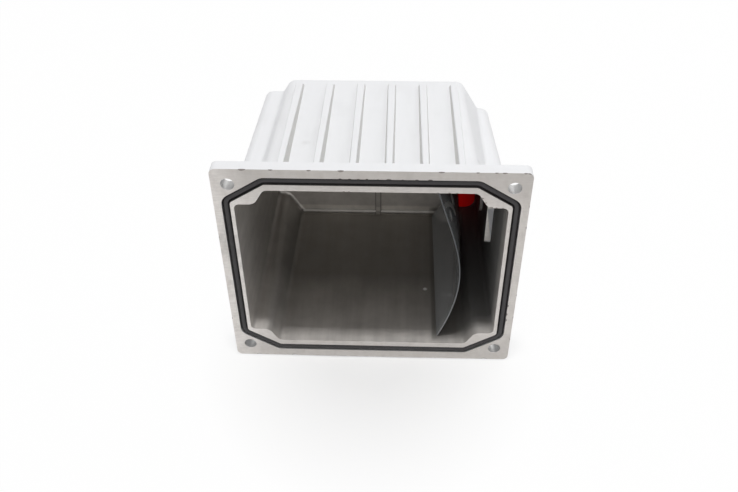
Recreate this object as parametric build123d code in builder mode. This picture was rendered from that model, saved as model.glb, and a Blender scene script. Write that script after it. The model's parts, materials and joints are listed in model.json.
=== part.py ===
from build123d import *
from math import atan2, cos, radians, sin, tan
import os

os.makedirs("parts", exist_ok=True)

# An open die cast housing that lies on its side, mouth towards -Y, +Z up, in millimetres.
# The origin is the middle of the flange's machined sealing face.

# Flange
flange_width = 150.0
flange_height = 126.4
flange_thickness = 7.0
flange_corner_radius = 3.0
flange_edge_chamfer = 0.6
flange_root_radius = 1.2
bolt_inset_x = 8.0
bolt_inset_z = 8.7
bolt_hole_diameter = 6.6

# Box behind the flange: the cavity narrows with the draft, and the wall follows it outside
cavity_depth = 107.5
wall = 2.4
back_wall = 3.0
mouth_inset_x = 9.6
mouth_inset_z = 12.1
side_draft = 3.2
top_draft = 5.1
back_edge_radius = 2.8
cavity_back_radius = 2.3

# Corner reliefs: each corner steps in by a slope above a narrow shelf beside the side wall
relief_slope = 59.0
shelf_flat_mouth = 4.3
shelf_flat_back_shallow = 4.6
shelf_flat_back_deep = 0.8
shelf_flat_back_upper_right = 0.2
step_mouth = 8.4
step_back_shallow = 7.4
step_back_deep = 14.1
step_back_upper_right = 17.2
relief_crest_radius = 3.2
relief_hollow_radius = 5.0
wall_corner_radius = 2.6

# Ribs outside, on the top and the underside, which die away towards the back
rib_count = 6
rib_margin = 3.2
rib_crest_width = 4.0
rib_side_draft = 7.0
rib_height_front = 7.5
rib_height_back = 3.2
rib_end_gap = 6.0
rib_nose_length = 5.5
rib_crest_radius = 0.7

# Seal groove in the flange's face, and the round cord in it
groove_width = 4.0
groove_depth = 3.4
groove_inset_x = 5.8
groove_inset_z = 6.8
groove_corner_x = 18.5
groove_corner_z = 11.7
groove_bend_radius = 4.2
cord_diameter = 3.2

# Ribs cast inside: one up the back wall, and two short ones on the right wall
back_rib_width = 3.0
back_rib_height = 1.5
back_rib_x = 0.6
side_rib_width = 5.0
side_rib_height = 3.4
side_rib_depth = 40.0
side_rib_half_length = 13.5
small_rib_width = 4.0
small_rib_height = 1.6
small_rib_depth = 80.0
small_rib_half_length = 23.0

# Thin plastic sheet, sprung between floor and ceiling: its insets are from the right wall
sheet_thickness = 0.6
sheet_front_gap = 5.0
sheet_rear_gap = 0.2
sheet_edge_gap = 0.1
sheet_top_inset_front = 34.2
sheet_bulge_inset_front = 20.1
sheet_bottom_inset_front = 29.9
sheet_top_inset_back = 33.3
sheet_bulge_inset_back = 13.3
sheet_bottom_inset_back = 27.3
sheet_bulge_z = -9.0
sheet_end_slope = 0.7

# Pad on the back wall, in the gap between the sheet's bulge and the right wall
pad_thickness = 3.0
pad_height = 32.0
pad_left_gap = 0.8
pad_right_gap = 1.4
pad_bottom_gap = 0.6
pad_corner_radius = 6.0
pad_edge_radius = 2.8

# Worked out from these
overall_depth = cavity_depth + back_wall
mouth_half_width = flange_width / 2 - mouth_inset_x
mouth_half_height = flange_height / 2 - mouth_inset_z
back_half_width = mouth_half_width - side_draft
back_half_height = mouth_half_height - top_draft
groove_half_width = flange_width / 2 - groove_inset_x
groove_half_height = flange_height / 2 - groove_inset_z
shelf_rounding = wall_corner_radius + relief_hollow_radius * tan(radians(relief_slope) / 2)


def at_depth(depth):
    """Sketch plane across the housing, X to the right and Z up, this far behind the face."""
    return Plane.XZ.offset(-depth)


def between(front, back, depth):
    """Value that changes evenly from the mouth to the back of the cavity, at this depth."""
    return front + (back - front) * depth / cavity_depth


def half_height(depth):
    return between(mouth_half_height, back_half_height, depth)


def half_width(depth):
    return between(mouth_half_width, back_half_width, depth)


def hollow_x(depth, flat_back):
    """How far out the inner end of a corner's shelf lies at this depth."""
    return half_width(depth) - shelf_rounding - between(shelf_flat_mouth, flat_back, depth)


def long_edges(solid):
    """Edges that run from the front to the back."""
    return solid.edges().filter_by_position(Axis.Y, cavity_depth / 4, cavity_depth * 3 / 4)


def outermost(edges, direction):
    """The four edges that lie farthest out along this direction, two on each side."""
    return edges.sort_by(lambda edge: abs(edge.center().dot(direction)))[-4:]


def block(end_depth, grow, end_radius):
    """The cavity as a solid, or with the wall's thickness round it, down to this depth."""
    front_z = half_height(0) + grow
    back_z = half_height(end_depth) + grow
    front_x = half_width(0) + grow
    back_x = half_width(end_depth) + grow
    with BuildPart() as solid:
        # Its side view and its plan, crossed
        with BuildSketch(Plane.YZ):
            with BuildLine():
                Polyline((0, front_z), (end_depth, back_z), (end_depth, -back_z), (0, -front_z), close=True)
            make_face()
        extrude(amount=flange_width / 2, both=True)
        with BuildSketch(Plane.XY):
            with BuildLine():
                Polyline((front_x, 0), (back_x, end_depth), (-back_x, end_depth), (-front_x, 0), close=True)
            make_face()
        extrude(amount=flange_height / 2, both=True, mode=Mode.INTERSECT)
        # Each corner is cut back above its shelf, along the line of its hollow
        for side_sign, top_sign, flat_back, step_back in (
            (1, 1, shelf_flat_back_upper_right, step_back_upper_right),
            (1, -1, shelf_flat_back_shallow, step_back_shallow),
            (-1, -1, shelf_flat_back_deep, step_back_deep),
            (-1, 1, shelf_flat_back_shallow, step_back_shallow),
        ):
            near, far = [
                Vector(
                    side_sign * (hollow_x(depth, flat_back) + grow * tan(radians(relief_slope / 2))),
                    depth,
                    top_sign * (half_height(depth) - between(step_mouth, step_back, depth) + grow),
                )
                for depth in (-wall, end_depth + wall)
            ]
            slope_run = flange_height / tan(radians(relief_slope))
            with BuildSketch(at_depth(near.Y)):
                with BuildLine():
                    Polyline(
                        (near.X, near.Z),
                        (near.X + side_sign * flange_height, near.Z),
                        (near.X + side_sign * flange_height, near.Z + top_sign * flange_height),
                        (near.X - side_sign * slope_run, near.Z + top_sign * flange_height),
                        close=True,
                    )
                make_face()
            extrude(amount=(far - near).length, dir=far - near, mode=Mode.SUBTRACT)
        # Long corners, then the edges of the back
        edges = long_edges(solid)
        hollows = edges - outermost(edges, Vector(0, 0, 1)) - outermost(edges, Vector(1, 0, 0))
        fillet(hollows, relief_hollow_radius - grow)
        fillet(outermost(long_edges(solid), Vector(0, 0, 1)), relief_crest_radius + grow)
        fillet(outermost(long_edges(solid), Vector(1, 0, 0)), wall_corner_radius + grow)
        fillet(solid.faces().sort_by(Axis.Y)[-1].edges(), end_radius)
    return solid.part


def wall_plane(depth, top_sign):
    """Plane on the outside of the top or bottom wall, x across and y towards the back."""
    slope = atan2(top_draft, cavity_depth)
    return Plane(
        origin=(0, depth, top_sign * (half_height(depth) + wall)),
        x_dir=(top_sign, 0, 0),
        z_dir=(0, sin(slope), top_sign * cos(slope)),
    )


cavity = block(cavity_depth, 0, cavity_back_radius)
box = block(overall_depth, wall, back_edge_radius)

# One rib of the top wall: its side view, then draft on its sides and a soft crest
rib_start = flange_thickness / 2
rib_length = overall_depth - rib_end_gap - rib_start
rib_foot = -wall / 2
top_wall = wall_plane(rib_start, 1)
rib_view = Plane(origin=top_wall.origin, x_dir=top_wall.y_dir, z_dir=(1, 0, 0))
ceiling_half_width = hollow_x(cavity_depth, shelf_flat_back_upper_right)
ceiling_half_width -= step_back_upper_right / tan(radians(relief_slope))
rib_pitch = 2 * (ceiling_half_width - rib_margin) / (rib_count - 1)
with BuildPart() as rib:
    with BuildSketch(rib_view):
        with BuildLine():
            Polyline(
                (0, rib_foot),
                (0, rib_height_front),
                (rib_length - rib_nose_length, rib_height_back),
                (rib_length, rib_foot),
                close=True,
            )
        make_face()
    extrude(amount=rib_crest_width / 2, both=True)
    draft(rib.faces().filter_by(Axis.X), top_wall.offset(rib_height_back), rib_side_draft)
    rib_sides = rib.faces().sort_by(Axis.X)
    side_edges = rib_sides[0].edges() + rib_sides[-1].edges()
    upper_edges = side_edges.filter_by(lambda edge: top_wall.to_local_coords(edge.center()).Z > 0)
    front_edge_count = 2
    fillet(upper_edges.sort_by(Axis.Y)[front_edge_count:], rib_crest_radius)

# Housing: flange, box and ribs, then the cavity, groove and holes
groove_chamfer_x = groove_half_width - groove_corner_x
groove_chamfer_z = groove_half_height - groove_corner_z
groove_points = [
    (groove_chamfer_x, groove_half_height),
    (groove_half_width, groove_chamfer_z),
    (groove_half_width, -groove_chamfer_z),
    (groove_chamfer_x, -groove_half_height),
    (-groove_chamfer_x, -groove_half_height),
    (-groove_half_width, -groove_chamfer_z),
    (-groove_half_width, groove_chamfer_z),
    (-groove_chamfer_x, groove_half_height),
]
with BuildPart() as housing:
    with BuildSketch(at_depth(0)):
        RectangleRounded(flange_width, flange_height, flange_corner_radius)
    extrude(amount=-flange_thickness)
    chamfer(housing.faces().sort_by(Axis.Y)[-1].edges(), flange_edge_chamfer)
    add(box)
    flange_back = housing.faces().filter_by(Axis.Y).filter_by_position(
        Axis.Y, flange_thickness / 2, flange_thickness * 2
    )[0]
    fillet(flange_back.inner_wires()[0].edges(), flange_root_radius)
    for number in range(rib_count):
        top_rib = rib.part.moved(Location(((number - (rib_count - 1) / 2) * rib_pitch, 0, 0)))
        add(top_rib)
        add(top_rib.mirror(Plane.XY))
    add(cavity, mode=Mode.SUBTRACT)
    with BuildSketch(at_depth(0)):
        with BuildLine():
            FilletPolyline(*groove_points, radius=groove_bend_radius, close=True)
        make_face()
        inner_rim = offset(amount=-groove_width / 2, mode=Mode.PRIVATE)
        offset(amount=groove_width / 2)
        add(inner_rim, mode=Mode.SUBTRACT)
    extrude(amount=-groove_depth, mode=Mode.SUBTRACT)
    with Locations(at_depth(0)):
        with GridLocations(flange_width - 2 * bolt_inset_x, flange_height - 2 * bolt_inset_z, 2, 2):
            Hole(bolt_hole_diameter / 2, flange_thickness)
    # Ribs inside the cavity, run a little into the casting behind them
    with BuildSketch(at_depth(overall_depth - back_wall / 2)):
        with Locations((back_rib_x, 0)):
            Rectangle(back_rib_width, 2 * back_half_height)
    extrude(amount=back_wall / 2 + back_rib_height)
    for rib_depth, width, height, half_length in (
        (side_rib_depth, side_rib_width, side_rib_height, side_rib_half_length),
        (small_rib_depth, small_rib_width, small_rib_height, small_rib_half_length),
    ):
        face_x = half_width(rib_depth) - height
        with BuildSketch(Plane.YZ.offset(face_x)):
            with Locations((rib_depth + width / 2, 0)):
                SlotOverall(2 * half_length, width, rotation=90)
        extrude(amount=height + wall / 2)
housing.part.label = "housing"
export_step(housing.part, "parts/housing.step")


# Seal cord, lying on the groove's floor with its crown just under the flange's face
with BuildPart() as seal_cord:
    with BuildLine(at_depth(groove_depth - cord_diameter / 2)) as cord_line:
        FilletPolyline(*groove_points, radius=groove_bend_radius, close=True)
    with BuildSketch(cord_line.line ^ 0):
        Circle(cord_diameter / 2)
    sweep()
seal_cord.part.label = "seal_cord"
export_step(seal_cord.part, "parts/seal_cord.step")


# Divider sheet
sheet_front = sheet_front_gap
sheet_back = cavity_depth - cavity_back_radius - sheet_rear_gap


def sheet_x(depth, inset_front, inset_back):
    """Place of the sheet's inner side, whose inset from the right wall changes evenly."""
    share = (depth - sheet_front) / (sheet_back - sheet_front)
    return half_width(depth) - inset_front - (inset_back - inset_front) * share


def sheet_section(depth):
    """The bowed sheet cut across at this depth: it touches the ceiling and the floor."""
    top_x = sheet_x(depth, sheet_top_inset_front, sheet_top_inset_back)
    bulge_x = sheet_x(depth, sheet_bulge_inset_front, sheet_bulge_inset_back)
    bottom_x = sheet_x(depth, sheet_bottom_inset_front, sheet_bottom_inset_back)
    end = half_height(depth) - sheet_edge_gap
    rise = bulge_x - (top_x + bottom_x) / 2
    tangents = [
        (rise, sheet_end_slope * (sheet_bulge_z - end)),
        (-rise, -sheet_end_slope * (sheet_bulge_z + end)),
    ]
    with BuildSketch(at_depth(depth)) as section:
        with BuildLine():
            inner = Spline((top_x, end), (bulge_x, sheet_bulge_z), (bottom_x, -end), tangents=tangents)
            outer = Spline(
                (top_x + sheet_thickness, end),
                (bulge_x + sheet_thickness, sheet_bulge_z),
                (bottom_x + sheet_thickness, -end),
                tangents=tangents,
            )
            Line(inner @ 0, outer @ 0)
            Line(inner @ 1, outer @ 1)
        make_face()
    return section.sketch


with BuildPart() as divider_sheet:
    loft([sheet_section(sheet_front), sheet_section(sheet_back)], ruled=True)
divider_sheet.part.label = "divider_sheet"
export_step(divider_sheet.part, "parts/divider_sheet.step")

# Red pad, with its lower outer corner round and its front edges soft
pad_left = sheet_x(sheet_back, sheet_bulge_inset_front, sheet_bulge_inset_back)
pad_left += sheet_thickness + pad_left_gap
pad_right = back_half_width - pad_right_gap
pad_bottom = step_back_shallow - back_half_height + pad_bottom_gap
with BuildPart() as red_pad:
    with BuildSketch(at_depth(cavity_depth)):
        with Locations((pad_right, pad_bottom)):
            Rectangle(pad_right - pad_left, pad_height, align=(Align.MAX, Align.MIN))
    extrude(amount=pad_thickness)
    pad_corners = red_pad.edges().filter_by(Axis.Y)
    fillet(pad_corners.group_by(Axis.Z)[0].sort_by(Axis.X)[-1], pad_corner_radius)
    fillet(red_pad.faces().sort_by(Axis.Y)[-1].edges(), pad_edge_radius)
red_pad.part.label = "red_pad"
export_step(red_pad.part, "parts/red_pad.step")
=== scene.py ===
import json
import math
import bmesh
import bpy
from mathutils import Matrix, Vector
from mathutils.bvhtree import BVHTree


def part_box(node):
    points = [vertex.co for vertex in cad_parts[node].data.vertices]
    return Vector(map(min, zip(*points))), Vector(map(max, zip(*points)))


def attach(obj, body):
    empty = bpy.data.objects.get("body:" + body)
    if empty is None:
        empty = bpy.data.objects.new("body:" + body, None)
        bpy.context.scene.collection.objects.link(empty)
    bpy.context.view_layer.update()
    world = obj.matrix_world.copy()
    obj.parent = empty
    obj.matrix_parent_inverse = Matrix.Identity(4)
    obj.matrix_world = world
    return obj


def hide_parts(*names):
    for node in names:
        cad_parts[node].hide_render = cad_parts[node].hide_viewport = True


# An open die cast housing with its seal cord, a bowed divider sheet and a red pad inside.
# Metres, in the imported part's frame: X across, +Y into the cavity, +Z up.
# A bare size in a dictionary is in mm. The floor's and the lamps' sizes are in metres.

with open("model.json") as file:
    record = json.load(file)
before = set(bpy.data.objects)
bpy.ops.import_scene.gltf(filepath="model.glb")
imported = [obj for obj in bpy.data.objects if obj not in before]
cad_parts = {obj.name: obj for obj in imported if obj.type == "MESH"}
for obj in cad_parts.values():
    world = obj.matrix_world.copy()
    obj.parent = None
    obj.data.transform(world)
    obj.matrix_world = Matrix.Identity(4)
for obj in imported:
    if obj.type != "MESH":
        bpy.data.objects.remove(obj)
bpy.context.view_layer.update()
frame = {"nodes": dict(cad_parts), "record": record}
mm = 0.001
print("frame loaded")


# Helpers for objects and nodes. An owner is a material or the world.
# A value that is a plain number goes straight into its socket.

def addObject(name, data):
    item = bpy.data.objects.new(name, data)
    bpy.context.collection.objects.link(item)
    return item


def dropObjects(*items):
    for item in items:
        bpy.data.objects.remove(item)


def treeNode(tree, kind, values=None, links=None):
    node = tree.nodes.new(kind)
    for name, value in (values or {}).items():
        if isinstance(name, int) or name in node.inputs:
            node.inputs[name].default_value = value
        else:
            setattr(node, name, value)
    for name, source in (links or {}).items():
        tree.links.new(source, node.inputs[name])
    return node


def addNode(owner, kind, values=None, links=None):
    return treeNode(owner.node_tree, kind, values, links)


def connect(owner, source, node, socket):
    owner.node_tree.links.new(source, node.inputs[socket])


def fill(owner, node, sockets, values):
    for socket, value in zip(sockets, values):
        if isinstance(value, (int, float)):
            node.inputs[socket].default_value = value
        elif isinstance(value, tuple):
            node.inputs[socket].default_value = (*value, 1)
        else:
            connect(owner, value, node, socket)


def compute(owner, operation, first, second=0.0):
    node = addNode(owner, "ShaderNodeMath", {"operation": operation})
    fill(owner, node, (0, 1), (first, second))
    return node.outputs["Value"]


def times(owner, first, second):
    return compute(owner, "MULTIPLY", first, second)


def remap(owner, factor, low, high, toLow=0.0, toHigh=1.0):
    values = {"From Min": low, "From Max": high, "To Min": toLow, "To Max": toHigh}
    return addNode(owner, "ShaderNodeMapRange", values, {"Value": factor}).outputs["Result"]


def seenDirectly(owner):
    rays = addNode(owner, "ShaderNodeLightPath").outputs
    shiny = compute(owner, "MAXIMUM", rays["Is Glossy Ray"], rays["Is Transmission Ray"])
    return compute(owner, "MAXIMUM", rays["Is Camera Ray"], shiny)


def newMaterial(name):
    material = bpy.data.materials.new(name)
    material.use_nodes = True
    material.node_tree.nodes.clear()
    shader = addNode(material, "ShaderNodeBsdfPrincipled")
    addNode(material, "ShaderNodeOutputMaterial", {}, {"Surface": shader.outputs["BSDF"]})
    return material, shader


def place(material, scale=(1, 1, 1)):
    coords = addNode(material, "ShaderNodeTexCoord").outputs["Object"]
    return addNode(material, "ShaderNodeMapping", {"Scale": scale}, {"Vector": coords}).outputs["Vector"]


def axes(material):
    outputs = addNode(material, "ShaderNodeSeparateXYZ", {}, {0: place(material)}).outputs
    return outputs["X"], outputs["Y"], outputs["Z"]


def distanceFrom(material, centre):
    middle = [value * mm for value in centre]
    values = {"operation": "DISTANCE", 1: middle}
    return addNode(material, "ShaderNodeVectorMath", values, {0: place(material)}).outputs["Value"]


def apart(material, value, middle):
    return compute(material, "ABSOLUTE", compute(material, "SUBTRACT", value, middle))


def noise(material, settings, stretch=(1, 1, 1)):
    values = dict(zip(("Scale", "Detail", "Roughness"), settings))
    links = {"Vector": place(material, stretch)}
    return addNode(material, "ShaderNodeTexNoise", values, links).outputs["Fac"]


def blendColors(material, factor, first, second):
    node = addNode(material, "ShaderNodeMix", {"data_type": "RGBA"}, {"Factor": factor})
    fill(material, node, (6, 7), (first, second))
    return node.outputs[2]


def bump(material, height, distance, strength=1.0, below=None):
    links = {"Height": height}
    if below is not None:
        links["Normal"] = below
    values = {"Distance": distance, "Strength": strength}
    return addNode(material, "ShaderNodeBump", values, links).outputs["Normal"]


# Materials. A noise is its scale, detail and roughness, and a bump is its depth and strength.

middling = (0.3, 0.7)  # the span in which nearly all of a noise's values lie

coatLook = {
    "color": (0.79, 0.795, 0.81),
    # a darker copy of the coat for the sides of the outside ribs: painted shade
    "flankShadeColor": (0.66, 0.655, 0.635),
    "worn": (0.60, 0.60, 0.60),
    "wornSpan": (0.22, 0.36),
    "wornAmount": 0.12,
    "roughness": 0.46,
    "broad": (45, 4, 0.55),
    "streaks": (260, 3, 0.55),
    "streakStretch": (1, 0.12, 1),
    "skin": (900, 5, 0.6),
    "skinBump": (0.05 * mm, 0.8),
    "waves": (60, 2, 0.55),
    "waveBump": (0.25 * mm, 0.5),
    "smudges": [
        # centre in mm, radius in mm
        ((-34.0, 40.0, 52.0), 3.0),
        ((52.0, 28.0, 48.0), 3.2),
    ],
    "smudgeCore": 0.3,
    "smudgeAmount": 0.35,
    "smudgeGrain": (700, 2, 0.55),
    "smudgeColor": (0.45, 0.44, 0.43),
}


def makeCoat(name, look, base):
    material, shader = newMaterial(name)
    broad = noise(material, look["broad"])
    streaks = noise(material, look["streaks"], look["streakStretch"])
    rubbed = remap(material, times(material, broad, streaks), *look["wornSpan"])
    worn = blendColors(material, rubbed, base, look["worn"])
    amount = times(material, look["wornAmount"], remap(material, broad, *middling))
    color = blendColors(material, amount, base, worn)
    for centre, radius in look["smudges"]:
        core = look["smudgeCore"] * radius * mm
        spot = remap(material, distanceFrom(material, centre), radius * mm, core, 0.0, look["smudgeAmount"])
        patchy = times(material, spot, noise(material, look["smudgeGrain"]))
        color = blendColors(material, patchy, color, look["smudgeColor"])
    connect(material, color, shader, "Base Color")
    shader.inputs["Roughness"].default_value = look["roughness"]
    skin = noise(material, look["skin"])
    waves = bump(material, noise(material, look["waves"]), *look["waveBump"])
    connect(material, bump(material, skin, *look["skinBump"], waves), shader, "Normal")
    return material


cavityLook = {
    # painted light near the mouth, and painted shade deeper in
    "color": (0.85, 0.81, 0.77),
    "deepShadeColor": (0.30, 0.283, 0.262),
    "deepSpan": (6.0 * mm, 52.0 * mm),
    # the painted shade is weaker on the left wall
    "sideSpan": (-60.0 * mm, -48.0 * mm),
    "leftShadeShare": 0.55,
    # the back wall, painted lighter than the deep floor, with a painted highlight in a band low down and
    # painted shade in the fillet where it rises from the floor
    "backColor": (0.58, 0.55, 0.515),
    "backFront": 104.8 * mm,
    "backFade": 1.5 * mm,
    "bandColor": (0.80, 0.76, 0.70),
    "bandTop": -40.0 * mm,
    "bandFade": 1.2 * mm,
    "filletColor": (0.33, 0.312, 0.29),
    "filletTop": -43.4 * mm,
    "filletFade": 1.0 * mm,
    # painted shade: dark lines on both sides of the rib on the back wall; the same dark colour serves the
    # grime patches and the painted shadows by the sheet's foot
    "grimeAndShade": (0.16, 0.15, 0.135),
    "backRibX": 0.6 * mm,
    "backRibHalfWidth": 1.6 * mm,
    "lineSpan": (0.5 * mm, 0.2 * mm),
    "lineAmount": 0.75,
    # painted shadows by the sheet's foot, in mm: where each begins and ends across, its amount,
    # and where it begins behind the lip; all of them lie low
    "footShadows": [
        ((32.3, 33.5), (35.0, 42.0), 0.55, (0.8, 3.6)),
        ((33.0, 38.0), (46.0, 56.0), 0.72, (1.0, 8.0)),
    ],
    "groundSpan": (-40.0 * mm, -43.0 * mm),
    # patches of grime all over, some of them drawn out along the die's pull
    "drag": (190, 3, 0.55),
    "dragStretch": (1, 0.06, 1),
    "dragShare": 0.4,
    "cloud": (55, 4, 0.55),
    "cloudShare": 0.6,
    "patchSpan": (0.35, 0.65),
    "mottle": 0.34,
    # a small chip of bare metal on the floor
    "speckPlace": (29.6, 40.4, -49.0),
    "speckSize": 1.4 * mm,
    "speckCore": 0.5,
    "speckColor": (0.98, 0.97, 0.95),
    # behind the sheet the colour is darkened by painted shade and the skin made dull, less so beside the
    # mouth
    "shaded": (0.17, 0.165, 0.16),
    "shadedSpan": (42.0 * mm, 56.0 * mm),
    "mouthSpan": (1.0 * mm, 13.0 * mm),
    "mouthShade": 0.2,
    "metallic": 0.7,
    "shadedMetallic": 0.1,
    "roughness": (0.36, 0.48),
    "shadedRoughness": 0.75,
    "skin": (420, 4, 0.65),
    "skinBump": (0.04 * mm, 1.0),
    "waveBump": (0.15 * mm, 0.4),
}


def makeCavityMetal(look):
    material, shader = newMaterial("castInside")
    drag = noise(material, look["drag"], look["dragStretch"])
    cloud = noise(material, look["cloud"])
    skin = noise(material, look["skin"])
    across, inward, height = axes(material)
    # painted shade deeper in the cavity, weaker on the left wall
    side = remap(material, across, *look["sideSpan"], look["leftShadeShare"], 1.0)
    depth = times(material, remap(material, inward, *look["deepSpan"]), side)
    color = blendColors(material, depth, look["color"], look["deepShadeColor"])
    # the back wall with painted light, a painted highlight band low down and painted shade in its fillet
    rear = remap(material, inward, look["backFront"], look["backFront"] + look["backFade"])
    color = blendColors(material, rear, color, look["backColor"])
    for part in ("band", "fillet"):
        low = remap(material, height, look[part + "Top"], look[part + "Top"] - look[part + "Fade"])
        color = blendColors(material, times(material, low, rear), color, look[part + "Color"])
    # painted shade in dark lines beside the back wall's rib
    fromLine = apart(material, apart(material, across, look["backRibX"]), look["backRibHalfWidth"])
    line = remap(material, fromLine, *look["lineSpan"], 0.0, look["lineAmount"])
    color = blendColors(material, times(material, line, rear), color, look["grimeAndShade"])
    ground = remap(material, height, *look["groundSpan"])
    # painted shadows of the sheet on the floor by its foot
    for start, end, amount, lip in look["footShadows"]:
        begun = remap(material, across, start[0] * mm, start[1] * mm, 0.0, amount)
        faded = remap(material, across, end[0] * mm, end[1] * mm, 1.0, 0.0)
        fromLip = remap(material, inward, lip[0] * mm, lip[1] * mm)
        stain = times(material, times(material, begun, faded), times(material, ground, fromLip))
        color = blendColors(material, stain, color, look["grimeAndShade"])
    dragged = times(material, drag, look["dragShare"])
    patches = compute(material, "ADD", dragged, times(material, cloud, look["cloudShare"]))
    dim = remap(material, patches, *look["patchSpan"], look["mottle"], 0.0)
    color = blendColors(material, dim, color, look["grimeAndShade"])
    fromSpeck = distanceFrom(material, look["speckPlace"])
    speck = remap(material, fromSpeck, look["speckSize"], look["speckCore"] * look["speckSize"])
    color = blendColors(material, speck, color, look["speckColor"])
    # painted shade behind the sheet, weaker beside the mouth
    fromMouth = remap(material, inward, *look["mouthSpan"], look["mouthShade"], 1.0)
    shaded = times(material, remap(material, across, *look["shadedSpan"]), fromMouth)
    connect(material, blendColors(material, shaded, color, look["shaded"]), shader, "Base Color")
    bare = compute(material, "SUBTRACT", 1.0, speck)
    metallic = remap(material, shaded, 0.0, 1.0, look["metallic"], look["shadedMetallic"])
    connect(material, times(material, metallic, bare), shader, "Metallic")
    sheen = remap(material, skin, *middling, *look["roughness"])
    dull = times(material, shaded, look["shadedRoughness"])
    connect(material, compute(material, "MAXIMUM", sheen, dull), shader, "Roughness")
    waves = bump(material, cloud, *look["waveBump"])
    connect(material, bump(material, skin, *look["skinBump"], waves), shader, "Normal")
    return material


faceLook = {
    "color": (0.96, 0.916, 0.877),
    # the face is greyer towards the right as painted shade, and more so along its top and bottom, except at
    # the far left
    "rightShadeColor": (0.80, 0.757, 0.718),
    "rightSpan": (20.0 * mm, 72.0 * mm),
    "greyed": (0.68, 0.643, 0.61),
    "heightSpan": (40.0 * mm, 55.0 * mm),
    "leftSpan": (-76.0 * mm, -58.0 * mm),
    # stains in small patches, smudges in broad ones, and fine lines from the cutter
    "stain": (0.50, 0.45, 0.405),
    "mottle": (210, 4, 0.6),
    "mottleStretch": (1, 1, 0.6),
    "stainSpan": (0.45, 0.75),
    "stainAmount": 0.35,
    "smudge": (0.52, 0.495, 0.47),
    "cloud": (38, 5, 0.6),
    "smudgeSpan": (0.55, 0.80),
    "smudgeAmount": 0.8,
    "lines": (900, 3, 0.55),
    "lineStretch": (0.25, 1, 1),
    "lineSpan": (0.35, 0.65),
    "lineAmount": 0.22,
    "metallic": 0.25,
    "roughness": (0.34, 0.50),
    "grain": (1500, 3, 0.55),
    "grainBump": (0.02 * mm, 0.6),
}


def makeMachinedFace(look):
    material, shader = newMaterial("machinedFace")
    cloud = noise(material, look["cloud"])
    lines = noise(material, look["lines"], look["lineStretch"])
    mottle = noise(material, look["mottle"], look["mottleStretch"])
    across, _, height = axes(material)
    beyond = remap(material, compute(material, "ABSOLUTE", height), *look["heightSpan"])
    ends = times(material, beyond, remap(material, across, *look["leftSpan"]))
    # painted shade towards the right
    side = remap(material, across, *look["rightSpan"])
    color = blendColors(material, side, look["color"], look["rightShadeColor"])
    color = blendColors(material, ends, color, look["greyed"])
    stained = remap(material, mottle, *look["stainSpan"], 0.0, look["stainAmount"])
    color = blendColors(material, stained, color, look["stain"])
    smudged = remap(material, cloud, *look["smudgeSpan"], 0.0, look["smudgeAmount"])
    color = blendColors(material, smudged, color, look["smudge"])
    lined = remap(material, lines, *look["lineSpan"], 0.0, look["lineAmount"])
    connect(material, blendColors(material, lined, color, look["smudge"]), shader, "Base Color")
    shader.inputs["Metallic"].default_value = look["metallic"]
    connect(material, remap(material, cloud, *middling, *look["roughness"]), shader, "Roughness")
    grain = noise(material, look["grain"])
    low = bump(material, lines, *look["grainBump"])
    connect(material, bump(material, grain, *look["grainBump"], low), shader, "Normal")
    return material


plainLooks = {
    "machinedCut": {
        "color": (0.70, 0.695, 0.69), "metallic": 0.5, "roughness": 0.42, "grain": 1200, "depth": 0.01 * mm,
    },
    # a paler metal for the right wall's ribs: painted light
    "paintedLitRib": {
        "color": (1.0, 0.96, 0.91), "metallic": 0.85, "roughness": 0.40, "grain": 500, "depth": 0.02 * mm,
    },
    # a dark metal for the groove's floor and inner wall: painted shade beside the cord
    "shadedGrooveWall": {
        "color": (0.16, 0.15, 0.145), "metallic": 0.3, "roughness": 0.5, "grain": 900, "depth": 0.03 * mm,
    },
    "chipMetal": {
        "color": (0.34, 0.305, 0.28), "metallic": 0.3, "roughness": 0.6, "grain": 900, "depth": 0.1 * mm,
    },
}


hollowShade = 0.72  # how dark the hollows of a plain metal's grain are


def makePlainMetal(name, look):
    material, shader = newMaterial(name)
    speckle = noise(material, (look["grain"], 4, 0.55))
    darker = tuple(hollowShade * channel for channel in look["color"])
    connect(material, blendColors(material, speckle, darker, look["color"]), shader, "Base Color")
    shader.inputs["Metallic"].default_value = look["metallic"]
    shader.inputs["Roughness"].default_value = look["roughness"]
    connect(material, bump(material, speckle, look["depth"]), shader, "Normal")
    return material


castCoat = makeCoat("castCoat", coatLook, coatLook["color"])
# the sides of the outside ribs: the coat with painted shade
shadedRibFlank = makeCoat("shadedRibFlank", coatLook, coatLook["flankShadeColor"])
castInside = makeCavityMetal(cavityLook)
machinedFace = makeMachinedFace(faceLook)
machinedCut, paintedLitRib, shadedGrooveWall, chipMetal = (
    makePlainMetal(name, look) for name, look in plainLooks.items()
)
print("casting materials ready")


# Geometry Nodes helpers: a tree with named inputs, run once and kept as a plain mesh

def newTree(name, inputs):
    tree = bpy.data.node_groups.new(name, "GeometryNodeTree")
    tree.interface.new_socket("Geometry", in_out="OUTPUT", socket_type="NodeSocketGeometry")
    for label, kind in inputs:
        tree.interface.new_socket(label, in_out="INPUT", socket_type="NodeSocket" + kind)
    given = tree.nodes.new("NodeGroupInput")
    result = tree.nodes.new("NodeGroupOutput")
    return tree, given.outputs, result.inputs["Geometry"]


def centredNoise(tree, values, links=None):
    cloud = treeNode(tree, "ShaderNodeTexNoise", values, links)
    return treeNode(tree, "ShaderNodeVectorMath", {"operation": "SUBTRACT", 1: (0.5, 0.5, 0.5)}, {
        0: cloud.outputs["Color"],
    }).outputs["Vector"]


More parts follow.
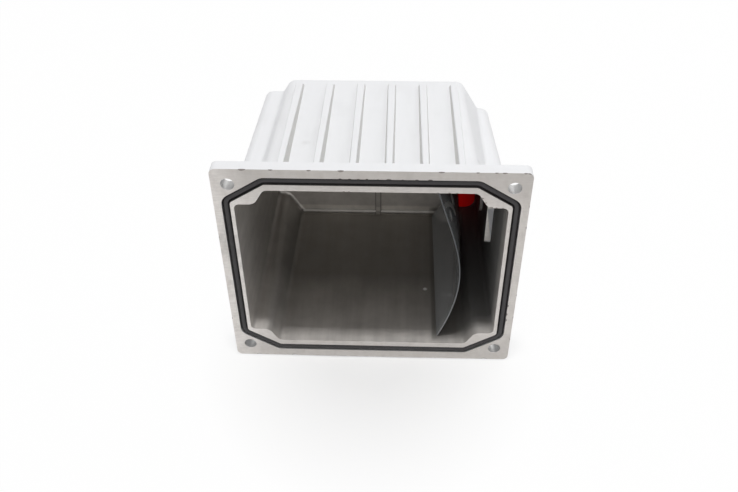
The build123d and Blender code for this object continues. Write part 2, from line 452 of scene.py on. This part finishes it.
def realPieces(tree, geometry, material):
    real = treeNode(tree, "GeometryNodeRealizeInstances", {}, {"Geometry": geometry})
    return treeNode(tree, "GeometryNodeSetMaterial", {}, {
        "Geometry": real.outputs["Geometry"], "Material": material,
    }).outputs["Geometry"]


def runTree(name, tree, values, startMesh=None):
    carrier = addObject(name + "Start", startMesh or bpy.data.meshes.new(name + "Start"))
    modifier = carrier.modifiers.new("tree", "NODES")
    modifier.node_group = tree
    for item in tree.interface.items_tree:
        if item.in_out == "INPUT" and item.name in values:
            modifier[item.identifier] = values[item.name]
    carrier.update_tag()
    evaluated = carrier.evaluated_get(bpy.context.evaluated_depsgraph_get())
    finished = bpy.data.meshes.new_from_object(evaluated)
    dropObjects(carrier)
    return addObject(name, finished)


# The casting: the CAD shape with its faces sorted by finish, and nicks cut along its machined edges

flangeHalfWidth, _, flangeHalfHeight = (round(value / mm, 2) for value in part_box("housing")[1])
bolts = next(mount["dims"] for mount in frame["record"]["mounts"] if mount["name"] == "cover_bolts")

castingForm = {
    "mergeDistance": 0.002,
    "flatAngle": 0.4,
    "smoothAngle": 28.0,
    "normalWeight": 90,
    "flangeThickness": 7.0,
    # the groove's middle line lies this far inside the flange's sides and top, and cuts its corners
    "grooveInset": (5.8, 6.8),
    "grooveCorner": (18.5, 11.7),
    # half the groove's width, and how far from its middle line its faces lie
    "grooveHalfGap": 2.0,
    "grooveReach": 2.3,
    "grooveDepth": 3.4,
    # how far the opening's upper edge lies inside the flange's top, and a point in the open cavity
    "mouthInset": 12.1,
    "cavityMiddle": (0.0, 50.0, 0.0),
    # the outside ribs stand within this distance of the middle, and beyond this height
    "ribSpan": 60.0,
    "ribFoot": 47.0,
    # ribs on the right wall: front, back, inner face and half length
    "sideRibs": [(40.0, 45.0, 60.8, 13.5), (80.0, 84.0, 61.4, 23.0)],
    "sideRibSkin": 1.2,
    "sideRibMargin": 0.3,
    # how far a face's middle may lie from where it belongs, and a sight line's start from its face
    "slack": 0.05,
    "grooveSlack": 0.1,
    "rayStart": 0.3,
    # how squarely a face looks forwards, sideways, inwards across the groove, or into the cavity
    "forwards": 0.99,
    "sideways": 0.9,
    "acrossGroove": 0.3,
    "intoCavity": 0.7,
}


def grooveLine(form):
    # half the width and height of its middle line, and where its cut corners begin on each
    width = flangeHalfWidth - form["grooveInset"][0]
    height = flangeHalfHeight - form["grooveInset"][1]
    return width, height, width - form["grooveCorner"][0], height - form["grooveCorner"][1]


def grooveOffset(x, z, form):
    # how far outside the groove's middle line a point lies, in mm
    x, z = abs(x) / mm, abs(z) / mm
    width, height, start, end = grooveLine(form)
    run, rise = width - start, height - end
    slope = ((x - start) * rise + (z - height) * run) / math.hypot(run, rise)
    return max(x - width, z - height, slope)


def boltOffset(x, z):
    # distance from the middle of the nearest bolt hole, in mm
    return math.hypot(abs(x) / mm - bolts["spacing_x_mm"] / 2, abs(z) / mm - bolts["spacing_y_mm"] / 2)


def onSideRib(x, y, z, form):
    x, y, z, margin = x / mm, y / mm, z / mm, form["sideRibMargin"]
    for front, back, inner, halfLength in form["sideRibs"]:
        if front - margin < y < back + margin and x > inner - margin and abs(z) < halfLength + margin:
            return x < inner + form["sideRibSkin"]
    return False


def faceFinish(face, shell, form):
    centre = face.calc_center_median()
    x, y, z = centre
    if y < form["slack"] * mm and face.normal.y < -form["forwards"]:
        return machinedFace
    if boltOffset(x, z) < bolts["hole_r_mm"] + form["slack"] and y < form["flangeThickness"] * mm:
        return machinedCut
    grooveBottom = (form["grooveDepth"] + form["grooveSlack"]) * mm
    if abs(grooveOffset(x, z, form)) < form["grooveReach"] and y < grooveBottom:
        # the groove's outer wall keeps the cut metal, its floor and inner wall take painted shade
        inwards = face.normal.x * x + face.normal.z * z < -form["acrossGroove"] * math.hypot(x, z)
        return machinedCut if inwards else shadedGrooveWall
    # a face is inside the cavity where nothing stands between it and the cavity's middle
    start = centre + face.normal * form["rayStart"] * mm
    inward = Vector(form["cavityMiddle"]) * mm - start
    if shell.ray_cast(start, inward, inward.length)[0] is None:
        # faces of the right wall's ribs that look into the cavity take a paler metal: painted light
        lit = onSideRib(x, y, z, form) and face.normal.x > -form["intoCavity"]
        return paintedLitRib if lit else castInside
    # the sides of the outside ribs take the coat with painted shade
    between = abs(x) < form["ribSpan"] * mm and abs(z) > form["ribFoot"] * mm
    return shadedRibFlank if between and abs(face.normal.x) > form["sideways"] else castCoat


def makeCasting(form):
    mesh = frame["nodes"]["housing"].data.copy()
    mesh.attributes.remove(mesh.attributes["custom_normal"])
    shape = bmesh.new()
    shape.from_mesh(mesh)
    bmesh.ops.remove_doubles(shape, verts=shape.verts, dist=form["mergeDistance"] * mm)
    shape.normal_update()
    finishes = [castCoat, shadedRibFlank, castInside, paintedLitRib, machinedFace, machinedCut, shadedGrooveWall, chipMetal]
    shell = BVHTree.FromBMesh(shape)
    for face in shape.faces:
        face.material_index = finishes.index(faceFinish(face, shell, form))
    bmesh.ops.dissolve_limit(
        shape,
        angle_limit=math.radians(form["flatAngle"]),
        use_dissolve_boundaries=False,
        verts=shape.verts,
        edges=shape.edges,
        delimit={"MATERIAL"},
    )
    mesh.materials.clear()
    for finish in finishes:
        mesh.materials.append(finish)
    shape.to_mesh(mesh)
    shape.free()
    return mesh


nickPlan = {
    # places on the flange's front edges: along the edge and size, both in mm
    "top": [(-59.4, 1.7), (-46.1, 1.2), (-28.4, 1.3), (-13.6, 1.9), (32.7, 1.3), (49.3, 1.1),
            (57.8, 1.0), (61.6, 1.2), (71.1, 1.2), (73.6, 1.4)],
    "left": [(-35.0, 0.6), (22.0, 0.5)],
    "right": [(-47.0, 0.9), (-30.0, 0.7), (-14.0, 0.7), (31.0, 0.9), (44.0, 0.7)],
    "bottom": [(-62.9, 1.5), (-42.8, 1.6), (-15.0, 0.7), (20.0, 0.7), (62.1, 1.5)],
    # on the groove's outer edge, along the top and the right
    "grooveTop": [(-14.0, 0.9), (-9.5, 0.7), (-5.5, 0.6), (-1.5, 0.8), (3.5, 0.5), (8.6, 1.0), (15.0, 0.5),
                  (21.6, 0.7), (27.8, 1.0)],
    "grooveRight": [(-32.4, 1.2), (-28.2, 1.0), (-21.8, 1.0)],
    # on the opening's upper edge
    "lip": [(-12.4, 0.6), (-10.0, 0.6), (31.5, 0.6), (37.0, 0.7), (40.5, 0.6)],
    # at the opening's upper right corner: x, z and size
    "corner": [(52.6, 48.4, 0.7), (54.2, 45.8, 0.6), (57.0, 43.1, 0.8), (59.5, 42.8, 0.6),
               (62.5, 42.7, 0.5)],
    "seed": 7,
    "wobbleScale": 1.3,
    "stretch": 1.9,
    "stretchSpan": (0.8, 1.25),
    "depth": 0.4,
}


def nickPoints(plan, form):
    right, _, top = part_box("housing")[1]
    width, height = grooveLine(form)[:2]
    grooveTop = (height + form["grooveHalfGap"]) * mm
    grooveRight = (width + form["grooveHalfGap"]) * mm
    mouthTop = (flangeHalfHeight - form["mouthInset"]) * mm
    lines = {
        "top": lambda along: (along, 0, top),
        "bottom": lambda along: (along, 0, -top),
        "left": lambda along: (-right, 0, along),
        "right": lambda along: (right, 0, along),
        "grooveTop": lambda along: (along, 0, grooveTop),
        "grooveRight": lambda along: (grooveRight, 0, along),
        "lip": lambda along: (along, 0, mouthTop),
    }
    upright = ("left", "right", "grooveRight")
    nicks = [
        (line(along * mm), size * mm / 2, float(name in upright))
        for name, line in lines.items() for along, size in plan[name]
    ]
    nicks += [((x * mm, 0, z * mm), size * mm / 2, 0.0) for x, z, size in plan["corner"]]
    points, sizes, sideways = zip(*nicks)
    mesh = bpy.data.meshes.new("nickPlaces")
    mesh.from_pydata(points, [], [])
    for name, values in (("nickSize", sizes), ("nickSideways", sideways)):
        mesh.attributes.new(name, "FLOAT", "POINT").data.foreach_set("value", values)
    return addObject("nickPlaces", mesh)


def nickTree(plan):
    inputs = [
        ("Geometry", "Geometry"), ("Places", "Object"), ("Stretch", "Float"), ("Depth", "Float"),
        ("Seed", "Int"), ("Chip Metal", "Material"),
    ]
    tree, given, result = newTree("edgeNicks", inputs)
    places = treeNode(tree, "GeometryNodeObjectInfo", {}, {"Object": given["Places"]})
    lump = treeNode(tree, "GeometryNodeMeshIcoSphere", {"Radius": 1.0, "Subdivisions": 2})
    rough = treeNode(tree, "GeometryNodeSetPosition", {}, {
        "Geometry": lump.outputs["Mesh"],
        "Offset": centredNoise(tree, {"Scale": plan["wobbleScale"], "Detail": 2.0}),
    })
    size, sideways = (
        treeNode(tree, "GeometryNodeInputNamedAttribute", {"data_type": "FLOAT", "Name": name})
        for name in ("nickSize", "nickSideways")
    )
    least, most = plan["stretchSpan"]
    uneven = treeNode(tree, "FunctionNodeRandomValue", {"data_type": "FLOAT", 2: least, 3: most}, {
        "Seed": given["Seed"],
    })
    long = treeNode(tree, "ShaderNodeMath", {"operation": "MULTIPLY"}, {
        0: given["Stretch"], 1: uneven.outputs[1],
    })
    across = treeNode(tree, "ShaderNodeCombineXYZ", {"Z": 1.0}, {
        "X": long.outputs[0], "Y": given["Depth"],
    })
    upright = treeNode(tree, "ShaderNodeCombineXYZ", {"X": 1.0}, {
        "Z": long.outputs[0], "Y": given["Depth"],
    })
    shape = treeNode(tree, "ShaderNodeMix", {"data_type": "VECTOR"}, {
        "Factor": sideways.outputs[0], 4: across.outputs[0], 5: upright.outputs[0],
    })
    scale = treeNode(tree, "ShaderNodeVectorMath", {"operation": "SCALE"}, {
        0: shape.outputs[1], "Scale": size.outputs[0],
    })
    copies = treeNode(tree, "GeometryNodeInstanceOnPoints", {}, {
        "Points": places.outputs["Geometry"],
        "Instance": rough.outputs["Geometry"],
        "Scale": scale.outputs["Vector"],
    })
    metal = realPieces(tree, copies.outputs["Instances"], given["Chip Metal"])
    cut = treeNode(tree, "GeometryNodeMeshBoolean", {
        "operation": "DIFFERENCE", "solver": "EXACT", "Self Intersection": True,
    }, {
        "Mesh 1": given["Geometry"], "Mesh 2": metal,
    })
    tree.links.new(cut.outputs["Mesh"], result)
    return tree


def makeHousing(form, plan):
    places = nickPoints(plan, form)
    values = {
        "Places": places, "Stretch": plan["stretch"], "Depth": plan["depth"], "Seed": plan["seed"],
        "Chip Metal": chipMetal,
    }
    nicked = runTree("nickedCasting", nickTree(plan), values, makeCasting(form))
    nicked.data.shade_smooth()
    nicked.data.set_sharp_from_angle(angle=math.radians(form["smoothAngle"]))
    weigh = nicked.modifiers.new("flatFaces", "WEIGHTED_NORMAL")
    weigh.keep_sharp = True
    weigh.weight = form["normalWeight"]
    evaluated = nicked.evaluated_get(bpy.context.evaluated_depsgraph_get())
    housing = addObject("castHousing", bpy.data.meshes.new_from_object(evaluated))
    dropObjects(places, nicked)
    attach(housing, "root")
    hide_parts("housing")
    return housing


housing = makeHousing(castingForm, nickPlan)
print("housing ready:", len(housing.data.polygons), "faces")


# Seal cord: a rubber section swept along the groove, with the slight waver of a laid cord

sealLook = {
    "color": (0.030, 0.027, 0.029),
    "dusty": (0.058, 0.053, 0.054),
    "dust": (260, 4, 0.65),
    "dustSpan": (0.45, 0.75),
    "dustDepth": 0.03 * mm,
    "broad": (40, 2, 0.55),
    "broadSpan": (0.35, 0.7),
    "roughness": (0.34, 0.52),
    "diameter": 3.2,
    "bendRadius": 4.2,
    "bendPoints": 10,
    # how far the cord wavers in the groove, and the share of it that goes up and down
    "waver": 0.10,
    "waverRise": 0.3,
    "waverScale": 55.0,
    "sectionPoints": 20,
    "spacing": 1.5,
}


def makeRubber(look):
    material, shader = newMaterial("sealRubber")
    dust = noise(material, look["dust"])
    broad = noise(material, look["broad"])
    dusted = remap(material, dust, *look["dustSpan"])
    amount = times(material, dusted, remap(material, broad, *look["broadSpan"]))
    connect(material, blendColors(material, amount, look["color"], look["dusty"]), shader, "Base Color")
    connect(material, remap(material, broad, *middling, *look["roughness"]), shader, "Roughness")
    connect(material, bump(material, dust, look["dustDepth"]), shader, "Normal")
    return material


def grooveCorners(form):
    width, height, start, end = grooveLine(form)
    corners = [(start, height), (width, end), (width, -end), (start, -height)]
    return corners + [(-x, -z) for x, z in corners]


def sealTree(look):
    inputs = [
        ("Path", "Object"), ("Bend Radius", "Float"), ("Section Radius", "Float"),
        ("Section Points", "Int"), ("Spacing", "Float"), ("Waver", "Float"), ("Waver Scale", "Float"),
        ("Rubber", "Material"),
    ]
    tree, given, result = newTree("sealSweep", inputs)
    path = treeNode(tree, "GeometryNodeObjectInfo", {}, {"Object": given["Path"]})
    rounded = treeNode(tree, "GeometryNodeFilletCurve", {"mode": "POLY", "Count": look["bendPoints"]}, {
        "Curve": path.outputs["Geometry"], "Radius": given["Bend Radius"],
    })
    even = treeNode(tree, "GeometryNodeResampleCurve", {"mode": "LENGTH"}, {
        "Curve": rounded.outputs["Curve"], "Length": given["Spacing"],
    })
    drift = centredNoise(tree, {"Detail": 1.0}, {"Scale": given["Waver Scale"]})
    flat = treeNode(tree, "ShaderNodeVectorMath", {"operation": "MULTIPLY", 1: (1, look["waverRise"], 1)}, {
        0: drift,
    })
    small = treeNode(tree, "ShaderNodeVectorMath", {"operation": "SCALE"}, {
        0: flat.outputs["Vector"], "Scale": given["Waver"],
    })
    laid = treeNode(tree, "GeometryNodeSetPosition", {}, {
        "Geometry": even.outputs["Curve"], "Offset": small.outputs["Vector"],
    })
    section = treeNode(tree, "GeometryNodeCurvePrimitiveCircle", {"mode": "RADIUS"}, {
        "Radius": given["Section Radius"], "Resolution": given["Section Points"],
    })
    swept = treeNode(tree, "GeometryNodeCurveToMesh", {}, {
        "Curve": laid.outputs["Geometry"], "Profile Curve": section.outputs["Curve"],
    })
    smooth = treeNode(tree, "GeometryNodeSetShadeSmooth", {}, {"Geometry": swept.outputs["Mesh"]})
    tree.links.new(realPieces(tree, smooth.outputs["Geometry"], given["Rubber"]), result)
    return tree


def makeSeal(look, form):
    low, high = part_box("seal_cord")
    depth = (low[1] + high[1]) / 2
    curve = bpy.data.curves.new("sealPath", "CURVE")
    curve.dimensions = "3D"
    spline = curve.splines.new("POLY")
    corners = grooveCorners(form)
    spline.points.add(len(corners) - 1)
    for point, (x, z) in zip(spline.points, corners):
        point.co = (x * mm, depth, z * mm, 1)
    spline.use_cyclic_u = True
    path = addObject("sealPath", curve)
    values = {
        "Path": path, "Bend Radius": look["bendRadius"] * mm,
        "Section Radius": (look["diameter"] / 2 - look["waver"] * look["waverRise"]) * mm,
        "Section Points": look["sectionPoints"], "Spacing": look["spacing"] * mm,
        "Waver": look["waver"] * mm, "Waver Scale": look["waverScale"], "Rubber": makeRubber(look),
    }
    seal = runTree("sealCord", sealTree(look), values)
    dropObjects(path)
    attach(seal, "root")
    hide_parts("seal_cord")
    return seal


seal = makeSeal(sealLook, castingForm)
print("seal ready:", len(seal.data.polygons), "faces")


# Divider sheet: a thin plastic sheet ruled between the bowed line of its front edge and that of its back

sheetForm = {
    "thickness": 0.6,
    # front and back edge: x at the top, at the bulge and at the bottom, in mm
    "frontX": (31.05, 45.15, 35.35),
    "backX": (28.97, 48.97, 34.97),
    "bulgeZ": -9.0,
    "endSlope": 0.7,
    "endHandle": 0.40,
    "midHandle": 0.30,
    "midLean": -0.025,
    "backHalfHeight": 46.03,
    "curveSteps": 24,
    "rows": 72,
    "columns": 40,
    "mergeDistance": 0.01,
    "smoothAngle": 40.0,
    # how squarely a face of the front edge looks forwards
    "forwards": 0.8,
}

sheetLook = {
    # paler low down, which is painted light, with fine dark scratches
    "color": (0.090, 0.095, 0.102),
    "lowLitColor": (0.245, 0.252, 0.257),
    "lowSpan": (5.0 * mm, -45.0 * mm),
    "scratches": (500, 3, 0.55),
    "scratchStretch": (1, 0.15, 1),
    "scratchSpan": (0.62, 0.8),
    "scratchAmount": 0.3,
    "scratchColor": (0.06, 0.063, 0.068),
    "scratchDepth": 0.002 * mm,
    # the outer side is painted lighter towards the front, with two pale painted reflections: centre and
    # radius in mm
    "outerLight": (0.28, 0.29, 0.295),
    "outerLightSpan": (52.0 * mm, 28.0 * mm),
    "outerSpan": (0.1, 0.3),
    "paintedGlints": [((40.2, 16.5, 24.6), 3.6), ((41.7, 36.5, 20.0), 5.0)],
    "paintedGlintCore": 0.4,
    "paintedGlintColor": (0.95, 0.95, 0.94),
    "cloud": (70, 4, 0.6),
    "roughness": (0.02, 0.05),
    "ior": 1.52,
    "ripples": (22, 1, 0.55),
    "rippleDepth": 0.02 * mm,
    # the cut front edge
    "edge": {
        "color": (0.98, 0.97, 0.96), "metallic": 0.25, "roughness": 0.45, "grain": 700, "depth": 0.01 * mm,
    },
}


def makeSheetPlastic(look):
    material, shader = newMaterial("sheetPlastic")
    scratches = noise(material, look["scratches"], look["scratchStretch"])
    across, inward, height = axes(material)
    # painted light low down on the sheet
    lower = remap(material, height, *look["lowSpan"])
    color = blendColors(material, lower, look["color"], look["lowLitColor"])
    scratched = remap(material, scratches, *look["scratchSpan"], 0.0, look["scratchAmount"])
    color = blendColors(material, scratched, color, look["scratchColor"])
    # the outer side is painted lighter towards the front
    facing = addNode(material, "ShaderNodeTexCoord").outputs["Normal"]
    rightwards = addNode(material, "ShaderNodeSeparateXYZ", {}, {0: facing}).outputs["X"]
    outer = remap(material, rightwards, *look["outerSpan"])
    litFront = times(material, outer, remap(material, inward, *look["outerLightSpan"]))
    color = blendColors(material, litFront, color, look["outerLight"])
    # two painted reflections on the outer side
    for centre, radius in look["paintedGlints"]:
        core = look["paintedGlintCore"] * radius * mm
        paintedGlint = remap(material, distanceFrom(material, centre), radius * mm, core)
        color = blendColors(material, paintedGlint, color, look["paintedGlintColor"])
    connect(material, color, shader, "Base Color")
    cloud = noise(material, look["cloud"])
    connect(material, remap(material, cloud, *middling, *look["roughness"]), shader, "Roughness")
    shader.inputs["IOR"].default_value = look["ior"]
    low = bump(material, noise(material, look["ripples"]), look["rippleDepth"])
    connect(material, bump(material, scratches, look["scratchDepth"], below=low), shader, "Normal")
    return material


def edgeCurve(name, form, depth, halfHeight, across):
    topX, bulgeX, bottomX = across
    rise = bulgeX - (topX + bottomX) / 2
    top = Vector((topX, 0, halfHeight))
    bulge = Vector((bulgeX, 0, form["bulgeZ"]))
    bottom = Vector((bottomX, 0, -halfHeight))
    leave = Vector((rise, 0, form["endSlope"] * (form["bulgeZ"] - halfHeight))).normalized()
    arrive = Vector((-rise, 0, -form["endSlope"] * (form["bulgeZ"] + halfHeight))).normalized()
    middle = Vector((form["midLean"], 0, -1)).normalized()
    upper, lower = (bulge - top).length, (bottom - bulge).length
    handles = [
        (top - leave, top, top + leave * upper * form["endHandle"]),
        (bulge - middle * upper * form["midHandle"], bulge, bulge + middle * lower * form["midHandle"]),
        (bottom - arrive * lower * form["endHandle"], bottom, bottom + arrive),
    ]
    curve = bpy.data.curves.new(name, "CURVE")
    curve.dimensions = "3D"
    curve.resolution_u = form["curveSteps"]
    spline = curve.splines.new("BEZIER")
    spline.bezier_points.add(2)
    shift = Vector((0, depth, 0))
    for point, spots in zip(spline.bezier_points, handles):
        point.handle_left_type = point.handle_right_type = "FREE"
        point.handle_left, point.co, point.handle_right = (spot * mm + shift for spot in spots)
    return addObject(name, curve)


def sheetTree(form):
    inputs = [
        ("Front Edge", "Object"), ("Back Edge", "Object"), ("Rows", "Int"), ("Columns", "Int"),
        ("Thickness", "Float"), ("Plastic", "Material"),
    ]
    tree, given, result = newTree("bowedSheet", inputs)
    grid = treeNode(tree, "GeometryNodeMeshGrid", {"Size X": 1.0, "Size Y": 1.0}, {
        "Vertices X": given["Columns"], "Vertices Y": given["Rows"],
    })
    spot = treeNode(tree, "GeometryNodeInputPosition")
    parts = treeNode(tree, "ShaderNodeSeparateXYZ", {}, {0: spot.outputs[0]})
    along = treeNode(tree, "ShaderNodeMath", {"operation": "ADD", 1: 0.5}, {0: parts.outputs["X"]})
    down = treeNode(tree, "ShaderNodeMath", {"operation": "ADD", 1: 0.5}, {0: parts.outputs["Y"]})
    samples = []
    for label in ("Front Edge", "Back Edge"):
        edge = treeNode(tree, "GeometryNodeObjectInfo", {}, {"Object": given[label]})
        sample = treeNode(tree, "GeometryNodeSampleCurve", {"mode": "FACTOR"}, {
            "Curves": edge.outputs["Geometry"], "Factor": down.outputs[0],
        })
        samples.append(sample.outputs["Position"])
    between = treeNode(tree, "ShaderNodeMix", {"data_type": "VECTOR"}, {
        "Factor": along.outputs[0], 4: samples[0], 5: samples[1],
    })
    bent = treeNode(tree, "GeometryNodeSetPosition", {}, {
        "Geometry": grid.outputs["Mesh"], "Position": between.outputs[1],
    })
    outward = treeNode(tree, "ShaderNodeCombineXYZ", {}, {"X": given["Thickness"]})
    thick = treeNode(tree, "GeometryNodeExtrudeMesh", {"mode": "FACES", "Individual": False}, {
        "Mesh": bent.outputs["Geometry"], "Offset": outward.outputs[0],
    })
    back = treeNode(tree, "GeometryNodeFlipFaces", {}, {"Mesh": bent.outputs["Geometry"]})
    joined = treeNode(tree, "GeometryNodeJoinGeometry")
    for side in (thick, back):
        tree.links.new(side.outputs["Mesh"], joined.inputs["Geometry"])
    welded = treeNode(tree, "GeometryNodeMergeByDistance", {"Distance": form["mergeDistance"] * mm}, {
        "Geometry": joined.outputs["Geometry"],
    })
    tree.links.new(realPieces(tree, welded.outputs["Geometry"], given["Plastic"]), result)
    return tree


def makeSheet(form, look):
    low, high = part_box("divider_sheet")
    front = edgeCurve("sheetFront", form, low[1], round(high[2] / mm, 2), form["frontX"])
    back = edgeCurve("sheetBack", form, high[1], form["backHalfHeight"], form["backX"])
    values = {
        "Front Edge": front, "Back Edge": back, "Rows": form["rows"], "Columns": form["columns"],
        "Thickness": form["thickness"] * mm, "Plastic": makeSheetPlastic(look),
    }
    sheet = runTree("dividerSheet", sheetTree(form), values)
    dropObjects(front, back)
    shape = bmesh.new()
    shape.from_mesh(sheet.data)
    bmesh.ops.recalc_face_normals(shape, faces=shape.faces)
    sheet.data.materials.append(makePlainMetal("sheetCutEdge", look["edge"]))
    for face in shape.faces:
        centre = face.calc_center_median()
        if abs(face.normal.y) > form["forwards"] and centre.y < (low[1] + high[1]) / 2:
            face.material_index = 1
    shape.to_mesh(sheet.data)
    shape.free()
    sheet.data.shade_smooth()
    sheet.data.set_sharp_from_angle(angle=math.radians(form["smoothAngle"]))
    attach(sheet, "root")
    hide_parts("divider_sheet")
    return sheet


sheet = makeSheet(sheetForm, sheetLook)
print("sheet ready:", len(sheet.data.polygons), "faces")


# Red pad: the CAD piece with a moulded plastic finish and a painted glow

padLook = {
    "color": (0.80, 0.006, 0.006),
    "dark": (0.66, 0.005, 0.006),
    "cloud": (160, 3, 0.55),
    # a painted glow in place of light from behind through the translucent plastic, at its left and right
    # end, so it is also painted darker to the right
    "glow": (0.11, 0.035),
    "glowColor": (1.0, 0.0, 0.0),
    "roughness": 0.38,
    "grain": (1400, 3, 0.55),
    "grainDepth": 0.03 * mm,
}


def makePadPlastic(look):
    material, shader = newMaterial("redPlastic")
    cloud = noise(material, look["cloud"])
    connect(material, blendColors(material, cloud, look["dark"], look["color"]), shader, "Base Color")
    shader.inputs["Roughness"].default_value = look["roughness"]
    shader.inputs["Emission Color"].default_value = (*look["glowColor"], 1)
    low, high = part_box("red_pad")
    # the painted glow, weaker towards the right
    glow = remap(material, axes(material)[0], low[0], high[0], *look["glow"])
    connect(material, glow, shader, "Emission Strength")
    connect(material, bump(material, noise(material, look["grain"]), look["grainDepth"]), shader, "Normal")
    return material


pad = frame["nodes"]["red_pad"]
pad.data.materials.clear()
pad.data.materials.append(makePadPlastic(padLook))
print("pad ready")


# Camera, fitted to the flange and the cavity in the photograph

cameraView = {
    "place": (12.67 * mm, -312.11 * mm, 286.90 * mm),
    "yaw": -2.49,
    "pitch": 40.73,
    "roll": -0.64,
    "focalLength": 40.74,
    "sensorWidth": 36.0,
    "clipStart": 10.0 * mm,
}


def makeCamera(values):
    yaw, pitch, roll = (math.radians(values[key]) for key in ("yaw", "pitch", "roll"))
    forward = Vector((math.sin(yaw) * math.cos(pitch), math.cos(yaw) * math.cos(pitch), -math.sin(pitch)))
    right = Vector((math.cos(yaw), -math.sin(yaw), 0))
    up = right.cross(forward)
    tiltedRight = math.cos(roll) * right + math.sin(roll) * up
    tiltedUp = math.cos(roll) * up - math.sin(roll) * right
    camera = addObject("camera", bpy.data.cameras.new("camera"))
    camera.data.lens = values["focalLength"]
    camera.data.sensor_width = values["sensorWidth"]
    camera.data.clip_start = values["clipStart"]
    turn = Matrix((tiltedRight, tiltedUp, -forward)).transposed().to_4x4()
    camera.matrix_world = Matrix.Translation(values["place"]) @ turn
    bpy.context.scene.camera = camera


makeCamera(cameraView)


# Floor, on which the housing tips back until the lower ribs' ends touch

floorLook = {
    "size": 6.0,
    "tilt": 6.8,
    "color": (0.93, 0.928, 0.925),
    "roughness": 0.9,
    # how white the camera sees it: close to the housing, where its shadow shows, and far off
    "whiteness": (0.38, 0.97),
    "whiteSpan": (0.025, 0.097),
}


def makeFloor(look, form):
    mesh = bpy.data.meshes.new("floor")
    half = look["size"] / 2
    corners = [(-half, -half, 0), (half, -half, 0), (half, half, 0), (-half, half, 0)]
    mesh.from_pydata(corners, [], [(0, 1, 2, 3)])
    floor = addObject("floor", mesh)
    edge = Vector((0, form["flangeThickness"] * mm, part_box("housing")[0][2]))
    floor.matrix_world = Matrix.Translation(edge) @ Matrix.Rotation(math.radians(look["tilt"]), 4, "X")
    material, shader = newMaterial("floorPaper")
    shader.inputs["Base Color"].default_value = (*look["color"], 1)
    shader.inputs["Roughness"].default_value = look["roughness"]
    glow = addNode(material, "ShaderNodeEmission", {"Color": (1, 1, 1, 1), "Strength": 1.0})
    white = remap(material, distanceFrom(material, (0, 0, 0)), *look["whiteSpan"], *look["whiteness"])
    amount = times(material, seenDirectly(material), white)
    mix = addNode(material, "ShaderNodeMixShader", {}, {
        0: amount, 1: shader.outputs["BSDF"], 2: glow.outputs["Emission"],
    })
    output = next(node for node in material.node_tree.nodes if node.type == "OUTPUT_MATERIAL")
    connect(material, mix.outputs["Shader"], output, "Surface")
    mesh.materials.append(material)


makeFloor(floorLook, castingForm)


# Lights: a white world, a small lamp overhead that draws the highlights, and a soft one behind

lightPlan = {
    "worldStrength": 0.44,
    # name, place in metres, aim, size in metres, watts
    "lamps": [
        ("overhead", (-0.01, -0.08, 1.3), (0.0, 0.02, 0.0), 0.09, 8.0),
        ("backFill", (0.5, 0.75, 0.8), (0.0, 0.05, 0.0), 0.9, 2.4),
    ],
}


def makeLights(plan):
    world = bpy.data.worlds.new("studio")
    bpy.context.scene.world = world
    world.use_nodes = True
    world.node_tree.nodes.clear()
    strength = remap(world, seenDirectly(world), 0.0, 1.0, plan["worldStrength"], 1.0)
    background = addNode(world, "ShaderNodeBackground", {"Color": (1, 1, 1, 1)}, {"Strength": strength})
    addNode(world, "ShaderNodeOutputWorld", {}, {"Surface": background.outputs["Background"]})
    for name, spot, aim, size, watts in plan["lamps"]:
        data = bpy.data.lights.new(name, "AREA")
        data.size = size
        data.energy = watts
        lamp = addObject(name, data)
        turn = (Vector(aim) - Vector(spot)).to_track_quat("-Z", "Y").to_matrix().to_4x4()
        lamp.matrix_world = Matrix.Translation(spot) @ turn


makeLights(lightPlan)
bpy.context.scene.view_settings.view_transform = "Standard"
print("camera, floor and lights ready")
